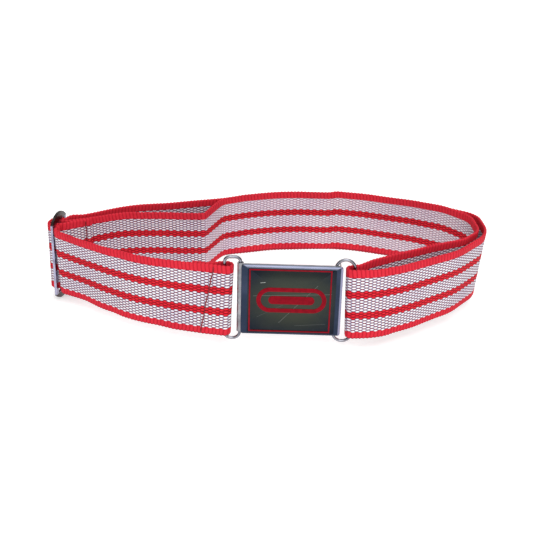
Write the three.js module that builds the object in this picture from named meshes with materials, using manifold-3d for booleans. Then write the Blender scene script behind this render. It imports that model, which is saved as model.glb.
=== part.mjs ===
// Adjustable webbing belt: one strip of webbing in a closed loop, a plate buckle between two wire
// links at the front, and a three-bar slider at the left bend. Millimetres, +Z up.
// The belt stands on edge: +X to the right, +Y from the front to the back of the loop.

import * as THREE from 'three';
import { mergeVertices } from 'three/addons/utils/BufferGeometryUtils.js';
import Module from 'manifold-3d';

// ---- Driving dimensions ------------------------------------------------------------------------

const WEBBING_WIDTH = 38;
const WEBBING_THICKNESS = 1.6;

const WIRE_RADIUS = 0.8;
const WIRE_SIDES = 14;
const WIRE_BUTT_GAP = 0.25;
const LINK_PLANE = -52.5; // y of both links' plane, at the front of the loop
const LINK_LOW = -2.8; // centre line of the links' lower ends
const LINK_HIGH = 42.2; // centre line of the links' upper ends
const LEFT_LINK = { outer: -20.8, inner: -12.8, topRadius: 2.6, lowRadius: 3.6 };
const RIGHT_LINK = { outer: 44, inner: 34.6, topRadius: 4.7, lowRadius: 4.7 };
const FOLD_RADIUS = 3.3; // centre line of the webbing where it turns round a link

const SHEET = 0.6; // thickness of the buckle's two sheet parts
const FACE = { left: -12.3, right: 38, low: 1.5, high: 39.5, front: -56.5 };
const FACE_BEVEL = { side: 3.2, end: 1.3, depth: 0.8, cornerRadius: 1.2, panelRadius: 0.5 };
const HOOK_CLEARANCE = 0.25; // between a link's wire and the sheet it bears on
const HOOK_SLACK = 1; // free play of the right link behind the lip
const LIP_DEPTH = 3;
const RIVET = { shank: 1.2, hole: 1.5, head: 2.4, headHeight: 0.8, gap: 0.3 };
const RIVET_OFFSETS = [-14, 14]; // x of the rivets, from the middle of the face

const ENAMEL_THICKNESS = 0.12;
const ENAMEL_GAP = 0.04;
const FRAME_LINE = { left: 3.9, right: 5.4, low: 1.7, high: 1.9, width: 0.7 }; // insets from the face
const EMBLEM = {
  width: 35,
  height: 13.6,
  stroke: 2.2,
  barWidth: 23,
  barHeight: 4.4,
  rise: 0.6, // above the middle of the face
};

const SLIDER_CENTRE = { x: -113.5, y: -1 };
const SLIDER_YAW = THREE.MathUtils.degToRad(80); // from +X to the line through its three bars
const SLIDER = {
  pitch: 8.4,
  barWidth: 2.8,
  thickness: 1.5,
  slotLow: -1.6, // the slots' ends: the slider has slipped a little down the webbing
  slotHigh: 38.4,
  shoulder: 0.6, // from a slot's end to the foot of the end plate's arch
  endRise: 4.2,
  edge: 0.3, // rounding of the stamped edges
};
const WRAP_RADIUS = 2.6; // centre line of the tail round the middle bar
const OVERWRAP = 4.7; // centre line of the running webbing round the tail
const UNDER_BAR = 2.3; // centre line of the running webbing inside the outer bars

const LEFT_FLEX = { x: -96.4, y: -23.7 }; // vertical axes about which the front ends of the belt bend
const RIGHT_FLEX = { x: 95.8, y: -18.1 };
const FLEX_GAP = 1.6;
const FLEX_REACH = 8; // webbing passing closer than this to a flex axis is parted there

const THREAD_RADIUS = 0.22;
const THREAD_SIDES = 6;
const THREAD_GAP = 0.1;
const SEAM_MARGIN = 1.4; // from the webbing's edges to a seam's ends
const SEAM_REACH = 3; // how near both plies pass to a seam's stated points
const LEFT_SEAM = { low: { x: -32, y: -52.3 }, high: { x: -26, y: -53.4 }, side: 1 };
const TAIL_SEAM = { low: { x: -100.3, y: 3.8 }, high: { x: -99.9, y: 4.2 }, side: -1 };

const STEEL = { color: 0xb9bcc0, roughness: 0.22, metalness: 1 };
const FACE_STEEL = { color: 0x3c4244, roughness: 0.12, metalness: 1 };
const WEAVE = { color: 0xd9c9d3, roughness: 0.9, metalness: 0 };
const RED_THREAD = { color: 0xa3152a, roughness: 0.8, metalness: 0 };
const RED_ENAMEL = { color: 0x8d1226, roughness: 0.35, metalness: 0 };

// ---- The webbing's course, seen from above -----------------------------------------------------
// Corners of a line with rounded turns: [x, y, turn radius, lean in x, lean in y, rise]. The lean is how
// far the webbing's upper edge stands off from above its lower edge, and the rise is how far the whole
// strip is lifted: the inner ply of the back rides a little higher than the outer one.

function atSlider(along, outward, radius = 0, leanX = 0, leanY = 0) {
  const c = Math.cos(SLIDER_YAW);
  const s = Math.sin(SLIDER_YAW);
  const x = SLIDER_CENTRE.x + along * c - outward * s;
  const y = SLIDER_CENTRE.y + along * s + outward * c;
  return [x, y, radius, leanX, leanY];
}

const foldFront = LINK_PLANE - FOLD_RADIUS;
const foldBack = LINK_PLANE + FOLD_RADIUS;
const leftFold = LEFT_LINK.outer + FOLD_RADIUS;
const rightFold = RIGHT_LINK.outer - FOLD_RADIUS;

const COURSE = [
  // the sewn end, folded round the left link
  [-37, -49.8, 0, 0, 1.5],
  [-27.5, -52, 6, 0, 2],
  [-23.5, foldBack, 5, 0.6, 1.5],
  [leftFold, foldBack, FOLD_RADIUS, 1.2, 1.5],
  [leftFold, foldFront, FOLD_RADIUS, 1.2, 1.5],
  // the front, to the slider
  [-30, -53.6, 40, 0, 2],
  [-45, -50, 80, 0, 1],
  [-66, -43.9, 90, -0.5, -1],
  [-84, -32.6, 120, -1.5, -2.5],
  [-98, -22.4, 60, -2.4, -4],
  // under the slider's front bar, over the middle bar and under the rear bar
  atSlider(-11.2, -UNDER_BAR - 0.5, 8, -1.4, -2.4),
  atSlider(-5.1, -UNDER_BAR, 1.5),
  atSlider(-OVERWRAP, OVERWRAP, 3.6),
  atSlider(OVERWRAP, OVERWRAP, 3.6),
  atSlider(5.1, -UNDER_BAR, 1.5),
  atSlider(10, -2.6, 8),
  // the outer loop round the back and the right bend
  [-98, 14.2, 60, 1, -3],
  [-80, 28.2, 90, 1, -3.5],
  [-54, 35, 150, 0, -4],
  [-19, 47.3, 250, 0, -4.2],
  [3, 54.9, 120, 0, -4],
  [20, 57.3, 150, 0, -4],
  [42, 59.6, 60, 0, -4],
  [62, 55.2, 150, 0, -4],
  [84, 47.6, 150, 0, -3.5],
  [99, 42.2, 60, 0, -2.5],
  [118, 28.6, 14, 2, -2],
  [118.3, 0.1, 30, 3, -1],
  [100, -23.6, 60, 2, -2],
  [72, -44.9, 90, 0, -1],
  [56, -53.7, 40, -0.5, 0],
  // round the right link
  [rightFold, foldFront, FOLD_RADIUS, -1.4, 0],
  [rightFold, foldBack, FOLD_RADIUS, -1.4, 0],
  // the inner loop, back round the right bend and along the back
  [46.5, foldBack, 3, -0.7, 0, 0.4],
  [54, -43.8, 30, 0, 0, 1.3],
  [82, -26, 200, 1, -1, 2],
  [104.8, -10.8, 14, 2, -2, 1.3],
  [113.4, 2.1, 16, 3, -1, 0.8],
  [113.6, 22.5, 14, 2, -1, 1.2],
  [101.3, 36.2, 25, 0, -1.5, 1.6],
  [84.4, 45.2, 60, 0, -3.5, 1.6],
  [56, 54.6, 60, 0, -4, 1.6],
  [40, 57.1, 8, 0, -4, 1.7],
  [36.5, 54.7, 8, 0, -4, 1.7],
  [19, 54.9, 20, 0, -4, 1.7],
  [3, 52.6, 100, 0, -4, 1.7],
  [-12, 47.6, 60, 0, -4, 1.6],
  [-26.3, 41.6, 10, 0, -4.5, 1.3],
  // the crease, and the sewn tail round the slider's middle bar
  [-35.5, 19.6, 2.5, 0, -8, 0.6],
  [-60, 20.8, 150, 0, -7],
  [-84, 17.4, 60, 0, -6],
  [-98, 7.2, 40, 0, -3],
  atSlider(4.2, -7, 8),
  atSlider(WRAP_RADIUS, -4, 5),
  atSlider(WRAP_RADIUS, WRAP_RADIUS, WRAP_RADIUS),
  atSlider(-WRAP_RADIUS, WRAP_RADIUS, WRAP_RADIUS),
  atSlider(-WRAP_RADIUS, -3, 4),
  atSlider(3.1, -8.8, 8),
  [-96.6, 5.8, 0, 0, -3],
];

// ---- Lines in plan -----------------------------------------------------------------------------

// A station on a line in plan: position, lean, rise, left-hand normal and distance from the start.
function station(x, y, leanX = 0, leanY = 0, rise = 0) {
  return { x, y, leanX, leanY, rise, nx: 0, ny: 0, s: 0 };
}

function mixed(a, b, t) {
  const mix = (key) => THREE.MathUtils.lerp(a[key], b[key], t);
  return station(mix('x'), mix('y'), mix('leanX'), mix('leanY'), mix('rise'));
}

function roundedTurn(before, corner, after) {
  const maxTurnPerStep = THREE.MathUtils.degToRad(12);
  const [x, y, wantedRadius, leanX, leanY, rise] = corner;
  const here = new THREE.Vector2(x, y);
  const back = new THREE.Vector2(before[0], before[1]).sub(here);
  const on = new THREE.Vector2(after[0], after[1]).sub(here);
  const room = 0.495 * Math.min(back.length(), on.length());
  back.normalize();
  on.normalize();
  const half = Math.acos(THREE.MathUtils.clamp(back.dot(on), -1, 1)) / 2;
  const reach = Math.min(wantedRadius / Math.tan(half), room);
  const radius = reach * Math.tan(half);
  const toCentre = back.clone().add(on).normalize().multiplyScalar(radius / Math.sin(half));
  const centre = here.clone().add(toCentre);
  const first = here.clone().addScaledVector(back, reach).sub(centre);
  const sweep = (Math.PI - 2 * half) * Math.sign(on.cross(back));
  const steps = Math.max(2, Math.ceil(Math.abs(sweep) / maxTurnPerStep));
  const stations = [];
  for (let i = 0; i <= steps; i++) {
    const p = first.clone().rotateAround(new THREE.Vector2(), (sweep * i) / steps).add(centre);
    stations.push(station(p.x, p.y, leanX, leanY, rise));
  }
  return stations;
}

// Fills in each station's normal, halfway between its two stretches' normals, and its distance.
function measured(stations) {
  const heading = (i) => {
    const a = stations[THREE.MathUtils.clamp(i, 0, stations.length - 2)];
    const b = stations[THREE.MathUtils.clamp(i + 1, 1, stations.length - 1)];
    return new THREE.Vector2(b.x - a.x, b.y - a.y);
  };
  let distance = 0;
  stations.forEach((p, i) => {
    const along = heading(i - 1).normalize().add(heading(i).normalize()).normalize();
    p.nx = -along.y;
    p.ny = along.x;
    p.s = distance;
    distance += heading(i).length();
  });
  return stations;
}

// Adds stations wherever the lean changes, so that the twisted strip stays even.
function evenLean(stations) {
  const maxChange = 0.4;
  return stations.flatMap((p, i) => {
    if (i === 0) return [p];
    const before = stations[i - 1];
    const change = Math.hypot(p.leanX - before.leanX, p.leanY - before.leanY);
    const parts = Math.max(1, Math.ceil(change / maxChange));
    return Array.from({ length: parts }, (_, k) => mixed(before, p, (k + 1) / parts));
  });
}

function roundedLine(corners) {
  const ends = [corners[0], corners[corners.length - 1]].map(([x, y, , leanX, leanY, rise]) => (
    station(x, y, leanX, leanY, rise)
  ));
  const turns = corners.slice(1, -1).flatMap((corner, i) => (
    roundedTurn(corners[i], corner, corners[i + 2])
  ));
  return measured(evenLean([ends[0], ...turns, ends[1]]));
}

function pointAt(line, s) {
  const i = Math.max(1, line.findIndex((p) => p.s >= s));
  const a = line[i - 1];
  const b = line[i];
  const t = (s - a.s) / (b.s - a.s);
  const point = mixed(a, b, t);
  const normal = new THREE.Vector2(a.nx, a.ny).lerp(new THREE.Vector2(b.nx, b.ny), t).normalize();
  point.nx = normal.x;
  point.ny = normal.y;
  point.s = s;
  return point;
}

function section(line, from, to) {
  const margin = 0.05;
  const inside = line.filter((p) => p.s > from + margin && p.s < to - margin);
  return [pointAt(line, from), ...inside, pointAt(line, to)];
}

// Distances along the line at which it passes a point most closely, within reach.
function passes(line, point, reach) {
  const step = 0.1;
  const total = line[line.length - 1].s;
  const distance = (s) => {
    const p = pointAt(line, s);
    return Math.hypot(p.x - point.x, p.y - point.y);
  };
  const found = [];
  for (let s = step; s < total - step; s += step) {
    const d = distance(s);
    if (d < reach && d <= distance(s - step) && d < distance(s + step)) found.push(s);
  }
  return found;
}

// ---- Closed shapes -----------------------------------------------------------------------------

// Joins equal rings of points, in order, into one closed skin with a fan over each end.
function skin(rings) {
  const count = rings[0].length;
  const positions = rings.flat().flatMap((p) => [p.x, p.y, p.z]);
  const triangles = [];
  for (let r = 0; r + 1 < rings.length; r++) {
    for (let i = 0; i < count; i++) {
      const a = r * count + i;
      const b = r * count + ((i + 1) % count);
      triangles.push(a, b, b + count, a, b + count, a + count);
    }
  }
  for (const [ring, flip] of [[0, true], [rings.length - 1, false]]) {
    const middle = new THREE.Vector3();
    rings[ring].forEach((p) => middle.addScaledVector(p, 1 / count));
    const hub = positions.length / 3;
    positions.push(middle.x, middle.y, middle.z);
    for (let i = 0; i < count; i++) {
      const a = ring * count + i;
      const b = ring * count + ((i + 1) % count);
      triangles.push(hub, flip ? b : a, flip ? a : b);
    }
  }
  const geometry = new THREE.BufferGeometry();
  geometry.setAttribute('position', new THREE.Float32BufferAttribute(positions, 3));
  geometry.setIndex(triangles);
  geometry.computeVertexNormals();
  return geometry;
}

// A flat strip standing on edge along a line in plan.
function ribbon(line, thickness, low, high) {
  const half = thickness / 2;
  const corner = (p, side, upper) => {
    const lean = upper ? 0.5 : -0.5;
    const x = p.x + side * half * p.nx + lean * p.leanX;
    const y = p.y + side * half * p.ny + lean * p.leanY;
    return new THREE.Vector3(x, y, p.rise + (upper ? high : low));
  };
  const rings = line.map((p) => [
    corner(p, -1, false),
    corner(p, 1, false),
    corner(p, 1, true),
    corner(p, -1, true),
  ]);
  return skin(rings);
}

// A round wire through points, with square-cut ends. Its rings stay upright to the given axis.
function wire(points, radius, sides, upright) {
  const rings = points.map((p, i) => {
    const a = points[Math.max(i - 1, 0)];
    const b = points[Math.min(i + 1, points.length - 1)];
    const forward = b.clone().sub(a).normalize();
    const side = upright.clone().cross(forward).normalize();
    const up = forward.clone().cross(side);
    return Array.from({ length: sides }, (_, k) => {
      const turn = (2 * Math.PI * k) / sides;
      return p.clone()
        .addScaledVector(side, radius * Math.cos(turn))
        .addScaledVector(up, radius * Math.sin(turn));
    });
  });
  return skin(rings);
}

// ---- Solid cuts --------------------------------------------------------------------------------

const wasm = await Module();
wasm.setup();

function toSolid(geometry) {
  const bare = geometry.clone();
  bare.deleteAttribute('normal');
  bare.deleteAttribute('uv');
  const merged = mergeVertices(bare, 1e-4);
  return new wasm.Manifold(new wasm.Mesh({
    numProp: 3,
    vertProperties: new Float32Array(merged.attributes.position.array),
    triVerts: new Uint32Array(merged.index.array),
  }));
}

function cut(geometry, cutters) {
  const solid = cutters.reduce((rest, cutter) => rest.subtract(toSolid(cutter)), toSolid(geometry));
  const mesh = solid.getMesh();
  const result = new THREE.BufferGeometry();
  result.setAttribute('position', new THREE.BufferAttribute(mesh.vertProperties, 3));
  result.setIndex(new THREE.BufferAttribute(mesh.triVerts, 1));
  result.computeVertexNormals();
  return result;
}

// ---- Webbing and its seams ---------------------------------------------------------------------

const course = roundedLine(COURSE);
const courseEnd = course[course.length - 1].s;
const [leftCut] = passes(course, LEFT_FLEX, FLEX_REACH);
const [rightOuterCut, rightInnerCut] = passes(course, RIGHT_FLEX, FLEX_REACH);

function webbing(from, to) {
  return ribbon(section(course, from, to), WEBBING_THICKNESS, 0, WEBBING_WIDTH);
}

// A thread laid on the webbing's side, from near its lower edge to near its upper edge.
function seamThread(lowAt, highAt, offset) {
  const low = SEAM_MARGIN;
  const high = WEBBING_WIDTH - SEAM_MARGIN;
  const steps = 8;
  const points = [];
  for (let i = 0; i <= steps; i++) {
    const t = i / steps;
    const z = THREE.MathUtils.lerp(low, high, t);
    const p = pointAt(course, THREE.MathUtils.lerp(lowAt, highAt, t));
    const lean = z / WEBBING_WIDTH - 0.5;
    const x = p.x + offset * p.nx + lean * p.leanX;
    const y = p.y + offset * p.ny + lean * p.leanY;
    points.push(new THREE.Vector3(x, y, z + p.rise));
  }
  return wire(points, THREAD_RADIUS, THREAD_SIDES, new THREE.Vector3(0, 1, 0));
}

// A seam joins two plies that pass the same place: one thread shows on the outer side of each.
function seam({ low, high, side }) {
  const [firstLow, secondLow] = passes(course, low, SEAM_REACH);
  const [firstHigh, secondHigh] = passes(course, high, SEAM_REACH);
  const offset = side * (WEBBING_THICKNESS / 2 + THREAD_GAP + THREAD_RADIUS);
  return [seamThread(firstLow, firstHigh, offset), seamThread(secondLow, secondHigh, offset)];
}

// ---- Hardware ----------------------------------------------------------------------------------

// A wire link: a closed frame with rounded corners, its ends butted in the middle of the outer limb.
function link({ outer, inner, topRadius, lowRadius }) {
  const side = Math.sign(inner - outer);
  const middle = (LINK_LOW + LINK_HIGH) / 2;
  const corners = [
    [outer, middle - WIRE_BUTT_GAP / 2, 0],
    [outer, LINK_LOW, lowRadius],
    [inner, LINK_LOW, lowRadius],
    [inner, LINK_HIGH, topRadius],
    [outer, LINK_HIGH, topRadius],
    [outer, middle + WIRE_BUTT_GAP / 2, 0],
  ];
  const line = roundedLine(corners);
  const points = line.map((p) => new THREE.Vector3(p.x, LINK_PLANE, p.y));
  const upright = new THREE.Vector3(0, side, 0);
  return wire(points, WIRE_RADIUS, WIRE_SIDES, upright);
}

// The hook plate: a lip behind the right edge, a flat web, and a knuckle curled round the left link.
function hookPlate() {
  const web = LINK_PLANE - WIRE_RADIUS - HOOK_CLEARANCE - SHEET / 2;
  const lip = RIGHT_LINK.inner + WIRE_RADIUS + HOOK_SLACK + SHEET / 2;
  const curl = WIRE_RADIUS + HOOK_CLEARANCE + SHEET / 2;
  const curlTurn = THREE.MathUtils.degToRad(300);
  const curlSteps = 20;
  const line = roundedLine([
    [lip, web + LIP_DEPTH + SHEET / 2],
    [lip, web, SHEET],
    [LEFT_LINK.inner, web],
  ]);
  for (let i = 1; i <= curlSteps; i++) {
    const turn = -Math.PI / 2 - (curlTurn * i) / curlSteps;
    line.push(station(LEFT_LINK.inner + curl * Math.cos(turn), LINK_PLANE + curl * Math.sin(turn)));
  }
  const plate = ribbon(measured(line), SHEET, FACE.low, FACE.high);
  const holes = RIVET_OFFSETS.map((x) => {
    const hole = new THREE.CylinderGeometry(RIVET.hole, RIVET.hole, 4 * SHEET, 24);
    hole.translate(faceMiddle.x + x, web, faceMiddle.z);
    return hole;
  });
  return cut(plate, holes);
}

const faceMiddle = { x: (FACE.left + FACE.right) / 2, z: (FACE.low + FACE.high) / 2 };

// Points round an upright rectangle with rounded corners, inset from the face's outline.
function faceRing(sideInset, endInset, radius, y) {
  const stepsPerCorner = 4;
  const halfWidth = (FACE.right - FACE.left) / 2 - sideInset - radius;
  const halfHeight = (FACE.high - FACE.low) / 2 - endInset - radius;
  const ring = [];
  for (const [cx, cz, start] of [[1, 1, 0], [-1, 1, 1], [-1, -1, 2], [1, -1, 3]]) {
    for (let i = 0; i <= stepsPerCorner; i++) {
      const turn = (Math.PI / 2) * (start + i / stepsPerCorner);
      const x = faceMiddle.x + cx * halfWidth + radius * Math.cos(turn);
      const z = faceMiddle.z + cz * halfHeight + radius * Math.sin(turn);
      ring.push(new THREE.Vector3(x, y, z));
    }
  }
  return ring;
}

// The face plate: a shallow pressed tray, with a bevel round its flat panel and a rim turned back.
function facePlate() {
  const { side, end, depth, cornerRadius, panelRadius } = FACE_BEVEL;
  const back = LINK_PLANE - WIRE_RADIUS - HOOK_CLEARANCE - SHEET - RIVET.gap;
  const innerCorner = cornerRadius - SHEET / 2;
  return skin([
    faceRing(side, end, panelRadius, FACE.front),
    faceRing(0, 0, cornerRadius, FACE.front + depth),
    faceRing(0, 0, cornerRadius, back),
    faceRing(SHEET, SHEET, innerCorner, back),
    faceRing(SHEET, SHEET, innerCorner, FACE.front + depth + SHEET / 2),
    faceRing(side, end, panelRadius, FACE.front + SHEET),
  ].reverse());
}

// A rivet from behind the face panel, through the hook plate, with a low domed head at the back.
function rivet() {
  const web = LINK_PLANE - WIRE_RADIUS - HOOK_CLEARANCE;
  const start = FACE.front + SHEET + RIVET.gap;
  const headAt = web + RIVET.gap;
  const domeSteps = 5;
  const profile = [new THREE.Vector2(0, start), new THREE.Vector2(RIVET.shank, start)];
  profile.push(new THREE.Vector2(RIVET.shank, headAt));
  for (let i = 0; i < domeSteps; i++) {
    const turn = (Math.PI / 2) * (i / domeSteps);
    const radius = RIVET.head * Math.cos(turn);
    profile.push(new THREE.Vector2(radius, headAt + RIVET.headHeight * Math.sin(turn)));
  }
  profile.push(new THREE.Vector2(0, headAt + RIVET.headHeight));
  return new THREE.LatheGeometry(profile, 20);
}

// Thin enamel shapes stand on the face panel: drawn in x and z, extruded towards the front.
function enamel(shape, rise = 0) {
  const geometry = new THREE.ExtrudeGeometry(shape, {
    depth: ENAMEL_THICKNESS,
    bevelEnabled: false,
    curveSegments: 12,
  });
  geometry.rotateX(Math.PI / 2);
  geometry.translate(faceMiddle.x, FACE.front - ENAMEL_GAP, faceMiddle.z + rise);
  return geometry;
}

function capsule(target, halfWidth, halfHeight) {
  const straight = halfWidth - halfHeight;
  target.moveTo(-straight, -halfHeight);
  target.lineTo(straight, -halfHeight);
  target.absarc(straight, 0, halfHeight, -Math.PI / 2, Math.PI / 2, false);
  target.lineTo(-straight, halfHeight);
  target.absarc(-straight, 0, halfHeight, Math.PI / 2, (3 * Math.PI) / 2, false);
  return target;
}

function emblemOutline() {
  const shape = capsule(new THREE.Shape(), EMBLEM.width / 2, EMBLEM.height / 2);
  const inner = EMBLEM.stroke;
  shape.holes.push(capsule(new THREE.Path(), EMBLEM.width / 2 - inner, EMBLEM.height / 2 - inner));
  return enamel(shape, EMBLEM.rise);
}

function emblemBar() {
  const bar = capsule(new THREE.Shape(), EMBLEM.barWidth / 2, EMBLEM.barHeight / 2);
  return enamel(bar, EMBLEM.rise);
}

function frameLine() {
  const box = (target, inset) => {
    const left = FACE.left + FRAME_LINE.left + inset - faceMiddle.x;
    const right = FACE.right - FRAME_LINE.right - inset - faceMiddle.x;
    const low = FACE.low + FRAME_LINE.low + inset - faceMiddle.z;
    const high = FACE.high - FRAME_LINE.high - inset - faceMiddle.z;
    target.moveTo(left, -high);
    target.lineTo(right, -high);
    target.lineTo(right, -low);
    target.lineTo(left, -low);
    target.closePath();
    return target;
  };
  const shape = box(new THREE.Shape(), 0);
  shape.holes.push(box(new THREE.Path(), FRAME_LINE.width));
  return enamel(shape);
}

// The slider: a stamped plate with three upright bars, two slots and an arched plate at each end.
function sliderFrame() {
  const { pitch, barWidth, thickness, slotLow, slotHigh, shoulder, endRise, edge } = SLIDER;
  const half = pitch + barWidth / 2;
  const arch = (half * half + endRise * endRise) / (2 * endRise);
  const sweep = Math.asin(half / arch);
  const up = Math.PI / 2;
  const highCentre = slotHigh + shoulder + endRise - arch;
  const lowCentre = slotLow - shoulder - endRise + arch;
  const shape = new THREE.Shape();
  shape.absarc(0, highCentre, arch, up - sweep, up + sweep, false);
  shape.absarc(0, lowCentre, arch, -up - sweep, -up + sweep, false);
  const geometry = new THREE.ExtrudeGeometry(shape, {
    depth: thickness - 2 * edge,
    bevelThickness: edge,
    bevelSize: edge,
    bevelOffset: -edge,
    bevelSegments: 2,
    curveSegments: 12,
  });
  geometry.translate(0, 0, edge - thickness / 2);
  geometry.rotateX(Math.PI / 2);
  const slots = [-1, 1].map((side) => {
    const slot = new THREE.BoxGeometry(pitch - barWidth, 4 * thickness, slotHigh - slotLow);
    slot.translate((side * pitch) / 2, 0, (slotLow + slotHigh) / 2);
    return slot;
  });
  return cut(geometry, slots);
}

// ---- Assembly ----------------------------------------------------------------------------------

const belt = new THREE.Group();

function add(name, geometry, look) {
  const mesh = new THREE.Mesh(geometry, new THREE.MeshStandardMaterial(look));
  mesh.name = name;
  belt.add(mesh);
  return mesh;
}

function addWebbing() {
  const halfGap = FLEX_GAP / 2;
  add('webbing_front_left', webbing(0, leftCut - halfGap), WEAVE);
  add('webbing_outer_loop', webbing(leftCut + halfGap, rightOuterCut - halfGap), WEAVE);
  add('webbing_front_right', webbing(rightOuterCut + halfGap, rightInnerCut - halfGap), WEAVE);
  add('webbing_inner_loop', webbing(rightInnerCut + halfGap, courseEnd), WEAVE);
}

function addSeams() {
  const [leftBack, leftFace] = seam(LEFT_SEAM);
  add('left_seam_back_thread', leftBack, RED_THREAD);
  add('left_seam_face_thread', leftFace, RED_THREAD);
  const [tailRear, tailNear] = seam(TAIL_SEAM);
  add('tail_seam_rear_thread', tailRear, RED_THREAD);
  add('tail_seam_near_thread', tailNear, RED_THREAD);
}

function addBuckle() {
  add('left_link', link(LEFT_LINK), STEEL);
  add('right_link', link(RIGHT_LINK), STEEL);
  add('hook_plate', hookPlate(), STEEL);
  add('face_plate', facePlate(), FACE_STEEL);
  ['left_rivet', 'right_rivet'].forEach((name, i) => {
    add(name, rivet(), STEEL).position.set(faceMiddle.x + RIVET_OFFSETS[i], 0, faceMiddle.z);
  });
  add('enamel_frame_line', frameLine(), RED_ENAMEL);
  add('emblem_outline', emblemOutline(), RED_ENAMEL);
  add('emblem_bar', emblemBar(), RED_ENAMEL);
}

function addSlider() {
  const frame = add('slider_frame', sliderFrame(), STEEL);
  frame.position.set(SLIDER_CENTRE.x, SLIDER_CENTRE.y, 0);
  frame.rotation.z = SLIDER_YAW;
}

addWebbing();
addSeams();
addBuckle();
addSlider();

// The frame's origin is under the middle of the whole belt, level with its lowest point.
const bounds = new THREE.Box3().setFromObject(belt);
const centre = bounds.getCenter(new THREE.Vector3());
belt.position.set(-centre.x, -centre.y, -bounds.min.z);

export default belt;
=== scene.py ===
"""Looks for a striped webbing belt with a plate buckle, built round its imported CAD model.

Row frame: metres, +X right, +Y from the buckle to the back of the loop, +Z up. The webbing's course
is worked out in millimetres in the belt's own plan and then carried into the row frame.
"""

import math

import bpy
import numpy as np
from mathutils import Matrix, Vector


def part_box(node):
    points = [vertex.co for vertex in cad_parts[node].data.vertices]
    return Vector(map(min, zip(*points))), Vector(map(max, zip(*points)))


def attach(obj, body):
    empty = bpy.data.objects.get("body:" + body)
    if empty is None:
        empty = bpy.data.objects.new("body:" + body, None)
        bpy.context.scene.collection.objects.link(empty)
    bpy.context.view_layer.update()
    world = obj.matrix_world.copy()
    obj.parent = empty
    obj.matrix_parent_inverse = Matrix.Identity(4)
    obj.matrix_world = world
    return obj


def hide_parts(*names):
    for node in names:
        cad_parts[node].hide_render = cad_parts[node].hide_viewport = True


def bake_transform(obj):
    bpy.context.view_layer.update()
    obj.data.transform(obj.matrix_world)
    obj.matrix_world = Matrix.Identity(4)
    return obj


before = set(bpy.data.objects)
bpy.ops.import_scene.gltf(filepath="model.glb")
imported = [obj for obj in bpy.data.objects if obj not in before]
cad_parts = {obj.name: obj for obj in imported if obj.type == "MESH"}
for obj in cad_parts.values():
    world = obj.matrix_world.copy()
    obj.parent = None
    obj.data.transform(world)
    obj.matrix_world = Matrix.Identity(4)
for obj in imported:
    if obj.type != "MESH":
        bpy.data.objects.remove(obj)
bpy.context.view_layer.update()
MM = 0.001

# ---- Driving dimensions, in millimetres --------------------------------------------------------

WIDTH = 38.0  # webbing
HALF_THICKNESS = 0.8
GROUND_HALF_THICKNESS = 0.72  # between the thicker edge bands
EDGE_BAND = 4.0
ROPES = 50  # warp ropes across the webbing
PICK = 2.0  # length of one float
RIB = 2.0  # pitch of the edge bands' ribs
STEP = 0.4  # along the webbing, between rings of its mesh
STEPS_ACROSS = 30
RIM_STEPS = 6

WIRE_RADIUS = 0.8
LINK_PLANE = -52.5
LEFT_LINK_OUTER = -20.8
RIGHT_LINK_OUTER = 44.0
FOLD_RADIUS = 3.3

SLIDER_CENTRE = (-113.5, -1.0)
SLIDER_YAW = math.radians(80)
WRAP_RADIUS = 2.6  # middle line of the tail round the slider's middle bar
OVERWRAP = 4.7  # middle line of the running webbing round the tail
UNDER_BAR = 2.3  # middle line of the running webbing inside the outer bars

LEFT_FLEX_AXIS = (-96.4, -23.7)  # upright axes about which the belt's front ends bend
RIGHT_FLEX_AXIS = (95.8, -18.1)
FLEX_AXIS_REACH = 8.0  # the right axis stands between two plies, this near to both
BEND_REACH = 11.0  # half the length over which the webbing bends at a flex line
CREASE_PLACE = (-35.5, 19.6)
TAUT_LENGTH = 165.0  # the inner ply lies taut along the back, this far before the crease
LEFT_SEAM = ((-32, -52.3), (-26, -53.4))  # lower and upper end of each seam
TAIL_SEAM = ((-100.3, 3.8), (-99.9, 4.2))

# The plan's origin in the row frame, from the left link's place and the webbing's lower edge.
left_link_low, left_link_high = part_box("left_link")
ORIGIN = Vector((
    left_link_low.x - (LEFT_LINK_OUTER - WIRE_RADIUS) * MM,
    (left_link_low.y + left_link_high.y) / 2 - LINK_PLANE * MM,
    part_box("webbing_outer_loop")[0].z,
))


# ---- The webbing's course ----------------------------------------------------------------------
# Corners of a line with rounded turns: x, y, turn radius, how far the webbing's upper edge stands
# off from above its lower edge in x and in y, and how far the whole strip is lifted.

def at_slider(along, outward, radius=0.0, lean_x=0.0, lean_y=0.0):
    c, s = math.cos(SLIDER_YAW), math.sin(SLIDER_YAW)
    x = SLIDER_CENTRE[0] + along * c - outward * s
    y = SLIDER_CENTRE[1] + along * s + outward * c
    return (x, y, radius, lean_x, lean_y, 0.0)


def corner(x, y, radius=0.0, lean_x=0.0, lean_y=0.0, rise=0.0):
    return (x, y, radius, lean_x, lean_y, rise)


FOLD_FRONT = LINK_PLANE - FOLD_RADIUS
FOLD_BACK = LINK_PLANE + FOLD_RADIUS
LEFT_FOLD = LEFT_LINK_OUTER + FOLD_RADIUS
RIGHT_FOLD = RIGHT_LINK_OUTER - FOLD_RADIUS

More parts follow.
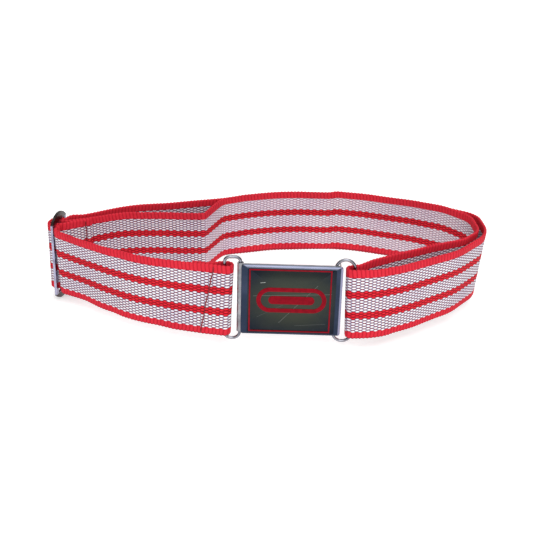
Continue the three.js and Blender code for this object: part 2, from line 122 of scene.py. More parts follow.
COURSE = [
    # the sewn end, folded round the left link
    corner(-37, -49.8, 0, 0, 1.5),
    corner(-27.5, -52, 6, 0, 2),
    corner(-23.5, FOLD_BACK, 5, 0.6, 1.5),
    corner(LEFT_FOLD, FOLD_BACK, FOLD_RADIUS, 1.2, 1.5),
    corner(LEFT_FOLD, FOLD_FRONT, FOLD_RADIUS, 1.2, 1.5),
    # the front, to the slider
    corner(-30, -53.6, 40, 0, 2),
    corner(-45, -50, 80, 0, 1),
    corner(-66, -43.9, 90, -0.5, -1),
    corner(-84, -32.6, 120, -1.5, -2.5),
    corner(-98, -22.4, 60, -2.4, -4),
    # under the slider's front bar, over the middle bar and under the rear bar
    at_slider(-11.2, -UNDER_BAR - 0.5, 8, -1.4, -2.4),
    at_slider(-5.1, -UNDER_BAR, 1.5),
    at_slider(-OVERWRAP, OVERWRAP, 3.6),
    at_slider(OVERWRAP, OVERWRAP, 3.6),
    at_slider(5.1, -UNDER_BAR, 1.5),
    at_slider(10, -2.6, 8),
    # the outer loop round the back and the right bend
    corner(-98, 14.2, 60, 1, -3),
    corner(-80, 28.2, 90, 1, -3.5),
    corner(-54, 35, 150, 0, -4),
    corner(-19, 47.3, 250, 0, -4.2),
    corner(3, 54.9, 120, 0, -4),
    corner(20, 57.3, 150, 0, -4),
    corner(42, 59.6, 60, 0, -4),
    corner(62, 55.2, 150, 0, -4),
    corner(84, 47.6, 150, 0, -3.5),
    corner(99, 42.2, 60, 0, -2.5),
    corner(118, 28.6, 14, 2, -2),
    corner(118.3, 0.1, 30, 3, -1),
    corner(100, -23.6, 60, 2, -2),
    corner(72, -44.9, 90, 0, -1),
    corner(56, -53.7, 40, -0.5, 0),
    # round the right link
    corner(RIGHT_FOLD, FOLD_FRONT, FOLD_RADIUS, -1.4, 0),
    corner(RIGHT_FOLD, FOLD_BACK, FOLD_RADIUS, -1.4, 0),
    # the inner loop, back round the right bend and along the back
    corner(46.5, FOLD_BACK, 3, -0.7, 0, 0.4),
    corner(54, -43.8, 30, 0, 0, 1.3),
    corner(82, -26, 200, 1, -1, 2),
    corner(104.8, -10.8, 14, 2, -2, 1.3),
    corner(113.4, 2.1, 16, 3, -1, 0.8),
    corner(113.6, 22.5, 14, 2, -1, 1.2),
    corner(101.3, 36.2, 25, 0, -1.5, 1.6),
    corner(84.4, 45.2, 60, 0, -3.5, 1.6),
    corner(56, 54.6, 60, 0, -4, 1.6),
    corner(40, 57.1, 8, 0, -4, 1.7),
    corner(36.5, 54.7, 8, 0, -4, 1.7),
    corner(19, 54.9, 20, 0, -4, 1.7),
    corner(3, 52.6, 100, 0, -4, 1.7),
    corner(-12, 47.6, 60, 0, -4, 1.6),
    corner(-26.3, 41.6, 10, 0, -4.5, 1.3),
    # the crease, and the sewn tail round the slider's middle bar
    corner(*CREASE_PLACE, 2.5, 0, -8, 0.6),
    corner(-60, 20.8, 150, 0, -7),
    corner(-84, 17.4, 60, 0, -6),
    corner(-98, 7.2, 40, 0, -3),
    at_slider(4.2, -7, 8),
    at_slider(WRAP_RADIUS, -4, 5),
    at_slider(WRAP_RADIUS, WRAP_RADIUS, WRAP_RADIUS),
    at_slider(-WRAP_RADIUS, WRAP_RADIUS, WRAP_RADIUS),
    at_slider(-WRAP_RADIUS, -3, 4),
    at_slider(3.1, -8.8, 8),
    corner(-96.6, 5.8, 0, 0, -3),
]


def rounded_turn(before, here, after):
    """Stations round one corner: rows of x, y, lean x, lean y, rise."""
    turn_per_step = math.radians(3)
    place = np.array(here[:2], float)
    back = np.array(before[:2]) - place
    on = np.array(after[:2]) - place
    room = 0.495 * min(np.linalg.norm(back), np.linalg.norm(on))
    back /= np.linalg.norm(back)
    on /= np.linalg.norm(on)
    half = math.acos(np.clip(back @ on, -1, 1)) / 2
    reach = min(here[2] / math.tan(half), room)
    radius = reach * math.tan(half)
    middle = (back + on) / np.linalg.norm(back + on)
    centre = place + middle * radius / math.sin(half)
    first = place + back * reach - centre
    sweep = (math.pi - 2 * half) * math.copysign(1, on[0] * back[1] - on[1] * back[0])
    steps = max(2, math.ceil(abs(sweep) / turn_per_step))
    rows = []
    for turn in np.linspace(0, sweep, steps + 1):
        c, s = math.cos(turn), math.sin(turn)
        x, y = centre + (first[0] * c - first[1] * s, first[0] * s + first[1] * c)
        rows.append((x, y, *here[3:]))
    return rows


class Course:
    """The webbing's middle line, sampled evenly: place, lean, rise, left-hand normal and distance."""

    def __init__(self, corners):
        rows = [(*corners[0][:2], *corners[0][3:])]
        for before, here, after in zip(corners, corners[1:], corners[2:]):
            rows += rounded_turn(before, here, after)
        rows.append((*corners[-1][:2], *corners[-1][3:]))
        rows = np.array(rows)
        hops = np.hypot(*np.diff(rows[:, :2], axis=0).T)
        apart = hops > 1e-6
        rows = rows[np.concatenate(([True], apart))]
        along = np.concatenate(([0], np.cumsum(hops[apart])))
        self.length = along[-1]
        self.s = np.linspace(0, self.length, round(self.length / STEP) + 1)
        self.x, self.y, self.lean_x, self.lean_y, self.rise = (
            np.interp(self.s, along, column) for column in rows.T
        )
        dx, dy = np.gradient(self.x, self.s), np.gradient(self.y, self.s)
        size = np.hypot(dx, dy)
        self.nx, self.ny = -dy / size, dx / size

    def index(self, s):
        return int(np.argmin(np.abs(self.s - s)))

    def passes(self, x, y, reach=3.0):
        """Distances at which the line passes a point most closely."""
        d = np.hypot(self.x - x, self.y - y)
        near = (d[1:-1] < reach) & (d[1:-1] <= d[:-2]) & (d[1:-1] < d[2:])
        return self.s[1:-1][near]

    def point(self, s, v=WIDTH / 2, out=0.0):
        """A point in the row frame: s along the line, v up from the lower edge, out from its middle."""
        i = self.index(s)
        lean = v / WIDTH - 0.5
        x = self.x[i] + self.lean_x[i] * lean + self.nx[i] * out
        y = self.y[i] + self.lean_y[i] * lean + self.ny[i] * out
        return ORIGIN + Vector((x, y, v + self.rise[i])) * MM


course = Course(COURSE)
LEFT_FLEX = course.passes(*LEFT_FLEX_AXIS)[0]
RIGHT_OUTER_FLEX, RIGHT_INNER_FLEX = course.passes(*RIGHT_FLEX_AXIS, FLEX_AXIS_REACH)
CREASE = course.passes(*CREASE_PLACE)[0]


# ---- Shader building ---------------------------------------------------------------------------

class Shader:
    """A material's node tree, with a short call for each kind of node used here."""

    def __init__(self, name):
        self.material = bpy.data.materials.new(name)
        self.material.use_nodes = True
        self.nodes = self.material.node_tree.nodes
        self.links = self.material.node_tree.links
        self.surface = self.nodes["Principled BSDF"]

    def feed(self, socket, value):
        if isinstance(value, bpy.types.NodeSocket):
            self.links.new(value, socket)
        elif value is not None:
            socket.default_value = value

    def set(self, **values):
        for name, value in values.items():
            self.feed(self.surface.inputs[name.replace("_", " ")], value)

    def math(self, operation, a, b=None, c=None, clamp=False):
        node = self.nodes.new("ShaderNodeMath")
        node.operation = operation
        node.use_clamp = clamp
        for socket, value in zip(node.inputs, (a, b, c)):
            self.feed(socket, value)
        return node.outputs[0]

    def ease(self, value, low, high):
        """A smooth step from 0 at low to 1 at high."""
        node = self.nodes.new("ShaderNodeMapRange")
        node.interpolation_type = "SMOOTHSTEP"
        for socket, number in zip(node.inputs[:3], (value, low, high)):
            self.feed(socket, number)
        return node.outputs[0]

    def mix(self, factor, a, b):
        """A colour between a and b. The node's sockets 6, 7 and output 2 are its colour ones."""
        node = self.nodes.new("ShaderNodeMix")
        node.data_type = "RGBA"
        self.feed(node.inputs["Factor"], factor)
        self.feed(node.inputs[6], a)
        self.feed(node.inputs[7], b)
        return node.outputs[2]

    def mix_numbers(self, factor, a, b):
        node = self.nodes.new("ShaderNodeMix")
        self.feed(node.inputs["Factor"], factor)
        self.feed(node.inputs[2], a)
        self.feed(node.inputs[3], b)
        return node.outputs[0]

    def vector_math(self, operation, a, b, output=0):
        node = self.nodes.new("ShaderNodeVectorMath")
        node.operation = operation
        self.feed(node.inputs[0], a)
        self.feed(node.inputs["Scale" if operation == "SCALE" else 1], b)
        return node.outputs[output]

    def times(self, a, b):
        return self.vector_math("MULTIPLY", a, b)

    def scaled(self, a, factor):
        return self.vector_math("SCALE", a, factor)

    def uv(self, name):
        node = self.nodes.new("ShaderNodeUVMap")
        node.uv_map = name
        split = self.nodes.new("ShaderNodeSeparateXYZ")
        self.links.new(node.outputs[0], split.inputs[0])
        return node.outputs[0], split.outputs[0], split.outputs[1]

    def place(self):
        """Where a point is in the row frame at rest, as a vector and its three parts."""
        node = self.nodes.new("ShaderNodeTexCoord")
        split = self.nodes.new("ShaderNodeSeparateXYZ")
        self.links.new(node.outputs["Object"], split.inputs[0])
        return node.outputs["Object"], *split.outputs

    def stretch(self, vector, scale):
        node = self.nodes.new("ShaderNodeMapping")
        self.links.new(vector, node.inputs["Vector"])
        node.inputs["Scale"].default_value = scale
        return node.outputs[0]

    def noise(self, vector, detail=2.0, roughness=0.5):
        node = self.nodes.new("ShaderNodeTexNoise")
        self.links.new(vector, node.inputs["Vector"])
        node.inputs["Scale"].default_value = 1.0
        node.inputs["Detail"].default_value = detail
        node.inputs["Roughness"].default_value = roughness
        return node.outputs["Fac"]

    def bump(self, height, distance, strength=1.0):
        node = self.nodes.new("ShaderNodeBump")
        node.inputs["Distance"].default_value = distance
        node.inputs["Strength"].default_value = strength
        self.links.new(height, node.inputs["Height"])
        self.links.new(node.outputs[0], self.surface.inputs["Normal"])


def rgb(red, green, blue):
    """An sRGB colour of 0 to 255 as linear RGBA."""
    def linear(value):
        value /= 255
        return value / 12.92 if value <= 0.04045 else ((value + 0.055) / 1.055) ** 2.4
    return (linear(red), linear(green), linear(blue), 1.0)


# ---- Materials ---------------------------------------------------------------------------------

STRIPES = [  # upper limits across the webbing, in ropes, and whether each stripe is red
    (5, True), (15, False), (20, True), (30, False), (35, True), (45, False), (50, True),
]


def webbing_material():
    """Plain-woven stripes: rounded warp floats in a checkerboard, with red weft between them."""
    m = Shader("striped_webbing")
    vector, u, v = m.uv("weave")
    rope_place = m.math("MULTIPLY", v, ROPES / WIDTH)
    wave = m.math("COSINE", m.math("MULTIPLY", u, math.pi / PICK))

    def parity(index):
        odd = m.math("FLOORED_MODULO", index, 2.0)
        return m.math("MULTIPLY_ADD", odd, -2.0, 1.0)

    # a float that is up spreads over its neighbours, so the border between ropes winds
    border = m.math("ROUND", rope_place)
    lower_up = m.math("MULTIPLY", wave, m.math("MULTIPLY", parity(border), -1.0))
    wound = m.math("SUBTRACT", rope_place, m.math("MULTIPLY", lower_up, 0.25))
    rope = m.math("FLOOR", wound)
    across = m.math("SUBTRACT", m.math("SUBTRACT", rope_place, rope), 0.5)
    up = m.math("MULTIPLY", wave, parity(rope))
    crown = m.math("COSINE", m.math("MULTIPLY", across, math.pi / 1.45))
    warp = m.math("MULTIPLY", m.math("MAXIMUM", up, 0.0), crown)
    pit = m.math("MULTIPLY", m.math("MAXIMUM", m.math("MULTIPLY", up, -1.0), 0.0), crown)
    float_height = m.math("POWER", m.math("MAXIMUM", warp, 0.0), 0.6)

    # which stripe the rope is in
    ramp = m.nodes.new("ShaderNodeValToRGB")
    ramp.color_ramp.interpolation = "CONSTANT"
    m.links.new(m.math("DIVIDE", m.math("ADD", rope, 0.5), float(ROPES)), ramp.inputs[0])
    stops = ramp.color_ramp.elements
    stops[0].position, stops[0].color = 0.0, (1, 1, 1, 1)
    stops[1].position, stops[1].color = STRIPES[0][0] / ROPES, (0, 0, 0, 1)
    for (start, _), (_, red) in zip(STRIPES[1:], STRIPES[2:]):
        shade = 1.0 if red else 0.0
        stops.new(start / ROPES).color = (shade, shade, shade, 1)
    is_red = ramp.outputs[0]

    fibres = m.noise(m.stretch(vector, (1.2, 9.0, 1.0)), 3.0, 0.6)
    tint = m.noise(m.stretch(vector, (0.03, 0.03, 1.0)), 2.0)

    # painted shade: the white ropes turn lavender-grey away from the float crowns, in the grooves
    # between floats
    white = m.mix(m.ease(float_height, 0.1, 0.8), rgb(146, 138, 162), rgb(250, 250, 254))
    white = m.mix(m.ease(pit, 0.12, 0.42), white, rgb(134, 22, 52))
    # painted shade: the red ropes turn darker red away from the float crowns, in the grooves between
    # floats
    red = m.mix(m.ease(float_height, 0.1, 0.85), rgb(178, 14, 32), rgb(238, 44, 58))
    red = m.mix(m.ease(pit, 0.2, 0.7), red, rgb(132, 6, 22))

    # drawn taut, the webbing shows more of its red weft and looks pinker
    drawn_out = m.ease(u, CREASE - TAUT_LENGTH - 20, CREASE - TAUT_LENGTH)
    taut = m.math("MULTIPLY", drawn_out, m.ease(u, CREASE + 1, CREASE - 1))
    white = m.mix(m.math("MULTIPLY", taut, 0.42), white, rgb(236, 214, 226))
    ground = m.mix(is_red, white, red)

    # the edge bands: ribs across the band, wrapped over the rim
    from_edge = m.math("MINIMUM", v, m.math("SUBTRACT", WIDTH, v))
    slant = m.math("MULTIPLY_ADD", from_edge, 0.12, u)
    rib = m.math("COSINE", m.math("MULTIPLY", slant, 2 * math.pi / RIB))
    rib = m.math("POWER", m.math("MULTIPLY_ADD", rib, 0.5, 0.5), 0.35)
    # painted shade: the edge bands' ribs are darker red in the grooves between them, brighter on their
    # tops
    band_red = m.mix(m.ease(rib, 0.1, 0.9), rgb(186, 24, 42), rgb(222, 46, 62))
    reach = m.math("MULTIPLY_ADD", wave, 0.2, EDGE_BAND)
    in_band = m.math("LESS_THAN", from_edge, reach)
    colour = m.mix(in_band, ground, band_red)
    # painted contact shadow along the lower rim, next to the floor
    painted_foot_shadow = m.ease(v, 0.9, 0.1)  # the lower rim, next to the floor, is darker
    colour = m.mix(painted_foot_shadow, colour, rgb(126, 12, 40))

    shade = m.math("MULTIPLY_ADD", fibres, 0.22, 0.86)
    lit = m.mix(m.ease(tint, 0.35, 0.7), (1, 1, 1, 1), rgb(243, 238, 246))
    colour = m.scaled(m.times(colour, lit), shade)

    ground_height = m.math("SUBTRACT", float_height, m.math("MULTIPLY", pit, 0.55))
    height = m.mix_numbers(in_band, ground_height, m.math("MULTIPLY", rib, 0.32))
    fuzzy = m.math("MULTIPLY_ADD", fibres, 0.25, height)
    m.bump(fuzzy, 0.28 * MM)
    m.set(Base_Color=colour, Roughness=0.75, Specular_IOR_Level=0.12)
    return m.material


def thread_material():
    m = Shader("sewing_thread")
    vector, *_ = m.place()
    twist = m.noise(m.stretch(vector, (900.0, 900.0, 2600.0)), 1.0)
    m.set(Base_Color=m.mix(twist, rgb(104, 4, 20), rgb(150, 14, 34)), Roughness=0.6)
    m.bump(twist, 0.05 * MM)
    return m.material


def metal_material(name, light, dark, roughness=0.18, scratches=0.15):
    """Polished metal, cloudy between two shades, with fine upright scratches."""
    m = Shader(name)
    vector, *_ = m.place()
    marks = m.noise(m.stretch(vector, (180.0, 180.0, 180.0)), 4.0, 0.6)
    fine = m.noise(m.stretch(vector, (3000.0, 3000.0, 160.0)), 2.0)
    m.set(Base_Color=m.mix(m.ease(marks, 0.3, 0.75), light, dark), Metallic=1.0)
    rough = m.math("MULTIPLY_ADD", fine, scratches, roughness - scratches / 2)
    m.set(Roughness=rough)
    m.bump(fine, 0.02 * MM, 0.4)
    return m.material


def slider_material():
    """Bright bars between darker end plates, painted on one steel: a pale painted reflection on the
    bars, a dark painted reflection on the end plates.
    """
    m = Shader("slider_steel")
    vector, _, _, z = m.place()
    low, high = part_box("slider_frame")
    centre = (low.z + high.z) / 2
    from_middle = m.math("ABSOLUTE", m.math("SUBTRACT", z, centre))
    in_end = m.ease(from_middle, 19.8 * MM, 20.6 * MM)
    marks = m.noise(m.stretch(vector, (350.0, 350.0, 350.0)), 5.0, 0.65)
    # painted reflections: pale lavender on the bars and dark brown on the end plates of the same
    # stamped steel
    bar = m.mix(m.ease(marks, 0.35, 0.7), rgb(178, 178, 202), rgb(132, 130, 152))
    end = m.mix(m.ease(marks, 0.35, 0.7), rgb(66, 55, 54), rgb(36, 30, 30))
    m.set(Base_Color=m.mix(in_end, bar, end), Metallic=1.0)
    m.set(Roughness=m.math("MULTIPLY_ADD", marks, 0.2, 0.16))
    m.bump(marks, 0.05 * MM, 0.5)
    return m.material


SCRATCHES = [  # x and z of each end, in millimetres from the panel's middle, width and strength
    ((-19.0, 2.6), (20.0, 4.4), 0.1, 0.45),
    ((-6.0, -12.0), (13.0, 9.0), 0.1, 0.4),
    ((-15.5, 9.8), (-13.2, 10.1), 0.22, 1.0),
    ((2.0, -13.5), (17.5, -12.2), 0.08, 0.3),
    ((-17.0, -9.0), (-4.0, -2.0), 0.07, 0.25),
]


def scratch(m, place, start, end, width):
    """How much of a straight scratch passes a place on the panel, in millimetres from its middle."""
    start, end = Vector((start[0], 0, start[1])), Vector((end[0], 0, end[1]))
    run = end - start
    from_start = m.vector_math("SUBTRACT", place, tuple(start))
    share = m.vector_math("DOT_PRODUCT", from_start, tuple(run / run.length_squared), output=1)
    share = m.math("ADD", share, 0.0, clamp=True)
    along = m.vector_math("SCALE", tuple(run), share)
    distance = m.vector_math("DISTANCE", from_start, along, output=1)
    return m.ease(distance, width, 0.3 * width)


def panel_material():
    """The face's dark polished panel, paler green-grey in the middle and darker blue-grey towards its
    edges, with a few scratches.
    """
    m = Shader("dark_polished_panel")
    vector, *_ = m.place()
    low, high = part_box("face_plate")
    centre, size = (low + high) / 2, high - low
    inward = m.vector_math("SUBTRACT", vector, tuple(centre))
    spread = m.times(inward, (2 / size.x, 0.0, 2 / size.z))
    from_middle = m.vector_math("LENGTH", spread, None, output=1)
    cloud = m.noise(m.stretch(vector, (60.0, 60.0, 95.0)), 3.0, 0.6)
    # paler green-grey in the middle, darker blue-grey towards the edges
    middle_to_edge = m.ease(m.math("MULTIPLY_ADD", cloud, 0.5, from_middle), 0.5, 1.6)
    colour = m.mix(middle_to_edge, rgb(62, 66, 57), rgb(30, 36, 48))
    in_mm = m.times(inward, (1 / MM, 0.0, 1 / MM))
    marks = None
    for start, end, width, strength in SCRATCHES:
        mark = m.math("MULTIPLY", scratch(m, in_mm, start, end, width), strength)
        marks = mark if marks is None else m.math("MAXIMUM", marks, mark)
    colour = m.mix(marks, colour, rgb(160, 164, 160))
    m.set(Base_Color=colour, Metallic=1.0)
    m.set(Roughness=m.math("MULTIPLY_ADD", marks, 0.3, 0.16))
    return m.material


def bevel_material():
    """The plate's bevels and rim, painted lit and shaded: a paler painted reflection where they face
    up, a painted highlight along the right edge, else a darker blue-grey.
    """
    m = Shader("bevelled_edge")
    vector, x, _, _ = m.place()
    geometry = m.nodes.new("ShaderNodeNewGeometry")
    split = m.nodes.new("ShaderNodeSeparateXYZ")
    m.links.new(geometry.outputs["True Normal"], split.inputs[0])
    # painted light: facets that face up are painted paler, as if lit from above
    painted_light_from_above = m.ease(split.outputs[2], 0.1, 0.4)
    wear = m.noise(m.stretch(vector, (45.0, 45.0, 120.0)), 2.0)
    dark = m.mix(m.ease(wear, 0.35, 0.75), rgb(46, 55, 73), rgb(58, 66, 86))
    light = m.mix(m.ease(wear, 0.35, 0.75), rgb(112, 116, 134), rgb(90, 94, 112))
    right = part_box("face_plate")[1].x
    # painted highlight along the right edge
    right_edge_painted_highlight = m.ease(x, right - 1.3 * MM, right - 0.9 * MM)
    colour = m.mix(right_edge_painted_highlight, m.mix(painted_light_from_above, dark, light), rgb(140, 140, 166))
    m.set(Base_Color=colour, Metallic=1.0, Roughness=0.22)
    return m.material


def enamel_material():
    m = Shader("red_enamel")
    vector, *_ = m.place()
    specks = m.noise(m.stretch(vector, (600.0, 600.0, 600.0)), 3.0)
    m.set(Base_Color=m.mix(m.ease(specks, 0.35, 0.7), rgb(140, 6, 27), rgb(122, 4, 22)))
    m.set(Roughness=0.6, Specular_IOR_Level=0.08)
    m.bump(specks, 0.03 * MM, 0.4)
    return m.material


def floor_material():
    """A white surface that also glows, so that it shows hardly any shadow."""
    m = Shader("pale_floor")
    vector, *_ = m.place()
    mottle = m.noise(m.stretch(vector, (3.0, 3.0, 3.0)), 2.0)
    m.set(Base_Color=m.mix(mottle, rgb(226, 226, 226), rgb(230, 230, 230)), Roughness=0.9)
    m.set(Specular_IOR_Level=0.1, Emission_Color=(1, 1, 1, 1), Emission_Strength=0.48)
    return m.material


# ---- Webbing -----------------------------------------------------------------------------------

def section_profile():
    """Points round the webbing's cross-section: (v, out as a share of half thickness, texture v)."""
    rim = HALF_THICKNESS
    heights = np.linspace(rim, WIDTH - rim, STEPS_ACROSS + 1)
    front = [(v, 1.0, v) for v in heights]
    turns = np.linspace(0, math.pi, RIM_STEPS + 1)[1:-1]

    def rim_points(centre, outward, first_side):
        points = []
        for turn in turns:
            arc = rim * min(turn, math.pi - turn)
            v = centre + outward * rim * math.sin(turn)
            points.append((v, first_side * math.cos(turn), centre + outward * arc))
        return points

    top = rim_points(WIDTH - rim, 1, 1)
    back = [(v, -1.0, v) for v in heights[::-1]]
    bottom = rim_points(rim, -1, -1)
    return front + top + back + bottom


PROFILE = section_profile()


def half_thickness(s, v):
    """Thicker, ribbed edge bands beside a slightly thinner ground."""
    if min(v, WIDTH - v) > EDGE_BAND:
        return GROUND_HALF_THICKNESS
    rib_height = 0.04
    return HALF_THICKNESS - rib_height + rib_height * np.cos(2 * math.pi * s / RIB)


def scalloped(s, v):
    """Height across the webbing, with the ribs showing as scallops along its rims."""
    beyond = v - np.clip(v, HALF_THICKNESS, WIDTH - HALF_THICKNESS)
    return v + 0.2 * beyond * np.cos(2 * math.pi * s / RIB)


def drape(s, v):
    """Slight unevenness of the soft webbing, as an offset along its normal."""
    swing = 0.14 * np.sin(s / 7.3 + 0.6) + 0.1 * np.sin(s / 4.1 + 2.0)
    return swing * (2 * v / WIDTH - 1) ** 2


def webbing_piece(name, start, end, cap_start, cap_end):
    """The length of webbing between two distances along the course, with a cap on a cut end."""
    first, last = course.index(start), course.index(end)
    i = np.arange(first, last + 1)
    s = course.s[i]
    rings = np.empty((len(i), len(PROFILE), 3))
    for k, (v, side, _) in enumerate(PROFILE):
        out = side * half_thickness(s, v) + drape(s, v)
        lean = v / WIDTH - 0.5
        rings[:, k, 0] = course.x[i] + course.lean_x[i] * lean + course.nx[i] * out
        rings[:, k, 1] = course.y[i] + course.lean_y[i] * lean + course.ny[i] * out
        rings[:, k, 2] = course.rise[i] + scalloped(s, v)
    points = rings.reshape(-1, 3) * MM + np.array(ORIGIN)
    n = len(PROFILE)
    faces, uvs = [], []
    back_start = STEPS_ACROSS + 1 + (RIM_STEPS - 1) // 2
    back_end = 2 * (STEPS_ACROSS + 1) + RIM_STEPS - 1 + (RIM_STEPS - 1) // 2
    for r in range(len(i) - 1):
        for k in range(n):
            j = (k + 1) % n
            faces.append((r * n + k, (r + 1) * n + k, (r + 1) * n + j, r * n + j))
            shift = PICK if back_start <= k < back_end else 0.0  # floats alternate front and back
            here, on = s[r] + shift, s[r + 1] + shift
            low, high = PROFILE[k][2], PROFILE[j][2]
            uvs += [(here, low), (on, low), (on, high), (here, high)]
    ends = ([(0, False)] if cap_start else []) + ([(len(i) - 1, True)] if cap_end else [])
    for ring, forward in ends:
        order = range(n) if forward else range(n - 1, -1, -1)
        faces.append(tuple(ring * n + k for k in order))
        uvs += [(s[ring], PROFILE[k][2]) for k in order]
    mesh = bpy.data.meshes.new(name)
    mesh.from_pydata([tuple(p) for p in points], [], faces)
    layer = mesh.uv_layers.new(name="weave")
    layer.data.foreach_set("uv", np.array(uvs, float).ravel())
    mesh.shade_smooth()
    mesh.materials.append(WEBBING)
    piece = bpy.data.objects.new(name, mesh)
    bpy.context.scene.collection.objects.link(piece)
    return piece


def add_webbing():
    """The webbing in ten pieces: three at the flex lines, and the rest on the back."""
    cut_end = course.length
    spans = [  # each piece's two ends, as distances along the course
        ("webbing_sewn_to_left_link", 0, 124),
        ("webbing_through_slider", 124, 176),
        ("webbing_outer_left", 176, 262),
        ("webbing_outer_middle", 262, 348),
        ("webbing_outer_right", 348, 434),
        ("webbing_to_right_link", 434, 530),
        ("webbing_from_right_link", 530, 622),
        ("webbing_inner_right", 622, 712),
        ("webbing_inner_middle", 712, 800),
        ("webbing_tail", 800, cut_end),
    ]
    bends = {
        "webbing_sewn_to_left_link": ("front_left", "back", LEFT_FLEX),
        "webbing_to_right_link": ("back", "front_right", RIGHT_OUTER_FLEX),
        "webbing_from_right_link": ("front_right", "back", RIGHT_INNER_FLEX),
    }
    pieces = {}
    for name, start, end in spans:
        pieces[name] = webbing_piece(name, start, end, start == 0, end == cut_end)
        if name not in bends:
            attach(pieces[name], "back")
    for name, (before, after, flex) in bends.items():
        start = course.point(flex - BEND_REACH)
        end = course.point(flex + BEND_REACH)
        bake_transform(pieces[name])
    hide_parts("webbing_front_left")
    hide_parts("webbing_outer_loop")
    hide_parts("webbing_front_right")
    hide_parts("webbing_inner_loop")


# ---- Seams -------------------------------------------------------------------------------------

def stitched_thread(name, low_s, high_s, side, body, node):
    """A line of stitches up the webbing: each bulges off the surface and dips into its hole."""
    margin = 1.2
    stitch = 2.9
    radius = 0.27
    dip = 0.12
    bulge_height = 0.34
    points_per_stitch = 8
    count = round((WIDTH - 2 * margin) / stitch) * points_per_stitch
    curve = bpy.data.curves.new(name, "CURVE")
    curve.dimensions = "3D"
    curve.bevel_depth = radius * MM
    curve.bevel_resolution = 2
    spline = curve.splines.new("POLY")
    spline.points.add(count)
    for k in range(count + 1):
        t = k / count
        v = margin + t * (WIDTH - 2 * margin)
        bulge = math.sqrt(abs(math.sin(math.pi * k / points_per_stitch)))
        wander = 0.18 * math.sin(5.1 * t) + 0.1 * math.sin(17 * t)  # the line isn't quite straight
        out = side * (HALF_THICKNESS - dip + bulge_height * bulge)
        place = course.point(low_s + (high_s - low_s) * t + wander, v, out)
        spline.points[k].co = (*place, 1)
    curve.materials.append(THREAD)
    thread = bpy.data.objects.new(name, curve)
    bpy.context.scene.collection.objects.link(thread)
    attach(thread, body)
    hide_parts(node)


def add_seams():
    """Each seam joins two plies, and one thread shows on the outer side of each."""
    seams = [
        (LEFT_SEAM, 1, "front_left", ("left_seam_back", "left_seam_face")),
        (TAIL_SEAM, -1, "back", ("tail_seam_rear", "tail_seam_near")),
    ]
    for (low, high), side, body, names in seams:
        for name, low_s, high_s in zip(names, course.passes(*low), course.passes(*high)):
            stitched_thread(name, low_s, high_s, side, body, name + "_thread")


# ---- Metalwork ---------------------------------------------------------------------------------

def finish_node(name, material, edge):
    """Gives a CAD node its material, smooth rounds and, where edge isn't zero, soft edges."""
    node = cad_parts[name]
    node.data.materials.clear()
    node.data.materials.append(material)
    weld = node.modifiers.new("weld", "WELD")
    weld.merge_threshold = 0.002 * MM
    if edge:
        bevel = node.modifiers.new("edge", "BEVEL")
        bevel.width = edge * MM
        bevel.segments = 2
        bevel.limit_method = "ANGLE"
        bevel.angle_limit = math.radians(40)
    node.data.shade_smooth()
    return node


def add_metalwork():
    wire = metal_material("link_wire", rgb(160, 160, 168), rgb(104, 104, 114), 0.16)
    sheet = metal_material("sheet_steel", rgb(170, 170, 174), rgb(130, 130, 136), 0.34, 0.25)
    enamel = enamel_material()
    finish_node("left_link", wire, 0)
    finish_node("right_link", wire, 0)
    finish_node("hook_plate", sheet, 0.08)
    finish_node("left_rivet", sheet, 0.1)
    finish_node("right_rivet", sheet, 0.1)
    finish_node("slider_frame", slider_material(), 0.2)
    for name in ("enamel_frame_line", "emblem_outline", "emblem_bar"):
        finish_node(name, enamel, 0.03)
    face = finish_node("face_plate", bevel_material(), 0.15)
    paint_panel(face)


def paint_panel(face):
    """The front panel's faces take the dark polished material."""
    face.data.materials.append(panel_material())
    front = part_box("face_plate")[0].y
    for polygon in face.data.polygons:
        on_front = all(abs(face.data.vertices[v].co.y - front) < 0.01 * MM for v in polygon.vertices)
        if on_front:
            polygon.material_index = 1


# ---- Stage -------------------------------------------------------------------------------------

def add_floor():
    size_in_metres = 6.0
    bpy.ops.mesh.primitive_plane_add(size=size_in_metres, location=(0, 0, 0))
    floor = bpy.context.object
    floor.name = "floor"
    floor.data.materials.append(floor_material())


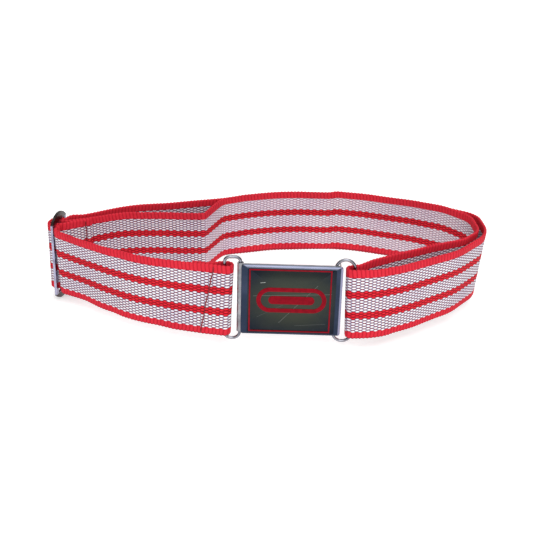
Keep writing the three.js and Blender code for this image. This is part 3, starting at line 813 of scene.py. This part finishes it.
def add_world():
    """White light all round: brightest just right of the middle, dimmer aside, and more from above."""
    brightest_x = 0.1
    near, far = 0.1, 1.0  # how far aside the light is at its strongest and its weakest
    strongest, weakest = 0.85, 0.04
    extra_from_above = 0.5
    world = bpy.data.worlds.new("studio")
    world.use_nodes = True
    nodes, links = world.node_tree.nodes, world.node_tree.links
    background = nodes["Background"]
    direction = nodes.new("ShaderNodeTexCoord")
    split = nodes.new("ShaderNodeSeparateXYZ")
    strength = nodes.new("ShaderNodeMapRange")
    links.new(direction.outputs["Generated"], split.inputs[0])
    from_brightest = nodes.new("ShaderNodeMath")
    from_brightest.operation = "SUBTRACT"
    links.new(split.outputs[0], from_brightest.inputs[0])
    from_brightest.inputs[1].default_value = brightest_x
    sideways = nodes.new("ShaderNodeMath")
    sideways.operation = "ABSOLUTE"
    links.new(from_brightest.outputs[0], sideways.inputs[0])
    links.new(sideways.outputs[0], strength.inputs[0])
    for socket, number in zip(strength.inputs[1:5], (near, far, strongest, weakest)):
        socket.default_value = number
    overhead = nodes.new("ShaderNodeMath")
    overhead.operation = "MULTIPLY_ADD"
    links.new(split.outputs[2], overhead.inputs[0])
    overhead.inputs[1].default_value = extra_from_above
    links.new(strength.outputs[0], overhead.inputs[2])
    links.new(overhead.outputs[0], background.inputs["Strength"])
    background.inputs["Color"].default_value = (1, 1, 1, 1)
    bpy.context.scene.world = world


def add_softbox():
    """A large round lamp in front of the belt and above it, in metres and watts."""
    data = bpy.data.lights.new("softbox", "AREA")
    data.shape = "DISK"
    data.size = 0.8
    data.energy = 3.8
    place = Vector((0.15, -0.75, 0.8))
    target = Vector((0, 0, 0.02))
    light = bpy.data.objects.new("softbox", data)
    light.location = place
    light.rotation_euler = (target - place).to_track_quat("-Z", "Y").to_euler()
    bpy.context.scene.collection.objects.link(light)


def add_camera():
    """A camera in front of and above the belt, turned a little about its own axis."""
    focal = 1000 / 533  # focal length as a share of the picture's width
    roll = math.radians(1.63)
    place = ORIGIN + Vector((0, -505.1, 239)) * MM
    target = ORIGIN + Vector((0, -11.9, 19.4)) * MM
    data = bpy.data.cameras.new("camera")
    data.sensor_width = 36
    data.lens = focal * data.sensor_width
    camera = bpy.data.objects.new("camera", data)
    look = (target - place).to_track_quat("-Z", "Y").to_matrix().to_4x4()
    camera.matrix_world = Matrix.Translation(place) @ look @ Matrix.Rotation(roll, 4, "Z")
    bpy.context.scene.collection.objects.link(camera)
    bpy.context.scene.camera = camera


# ---- Build -------------------------------------------------------------------------------------

WEBBING = webbing_material()
THREAD = thread_material()
add_webbing()
add_seams()
add_metalwork()
add_floor()
add_world()
add_softbox()
add_camera()

bpy.context.scene.view_settings.view_transform = "Standard"
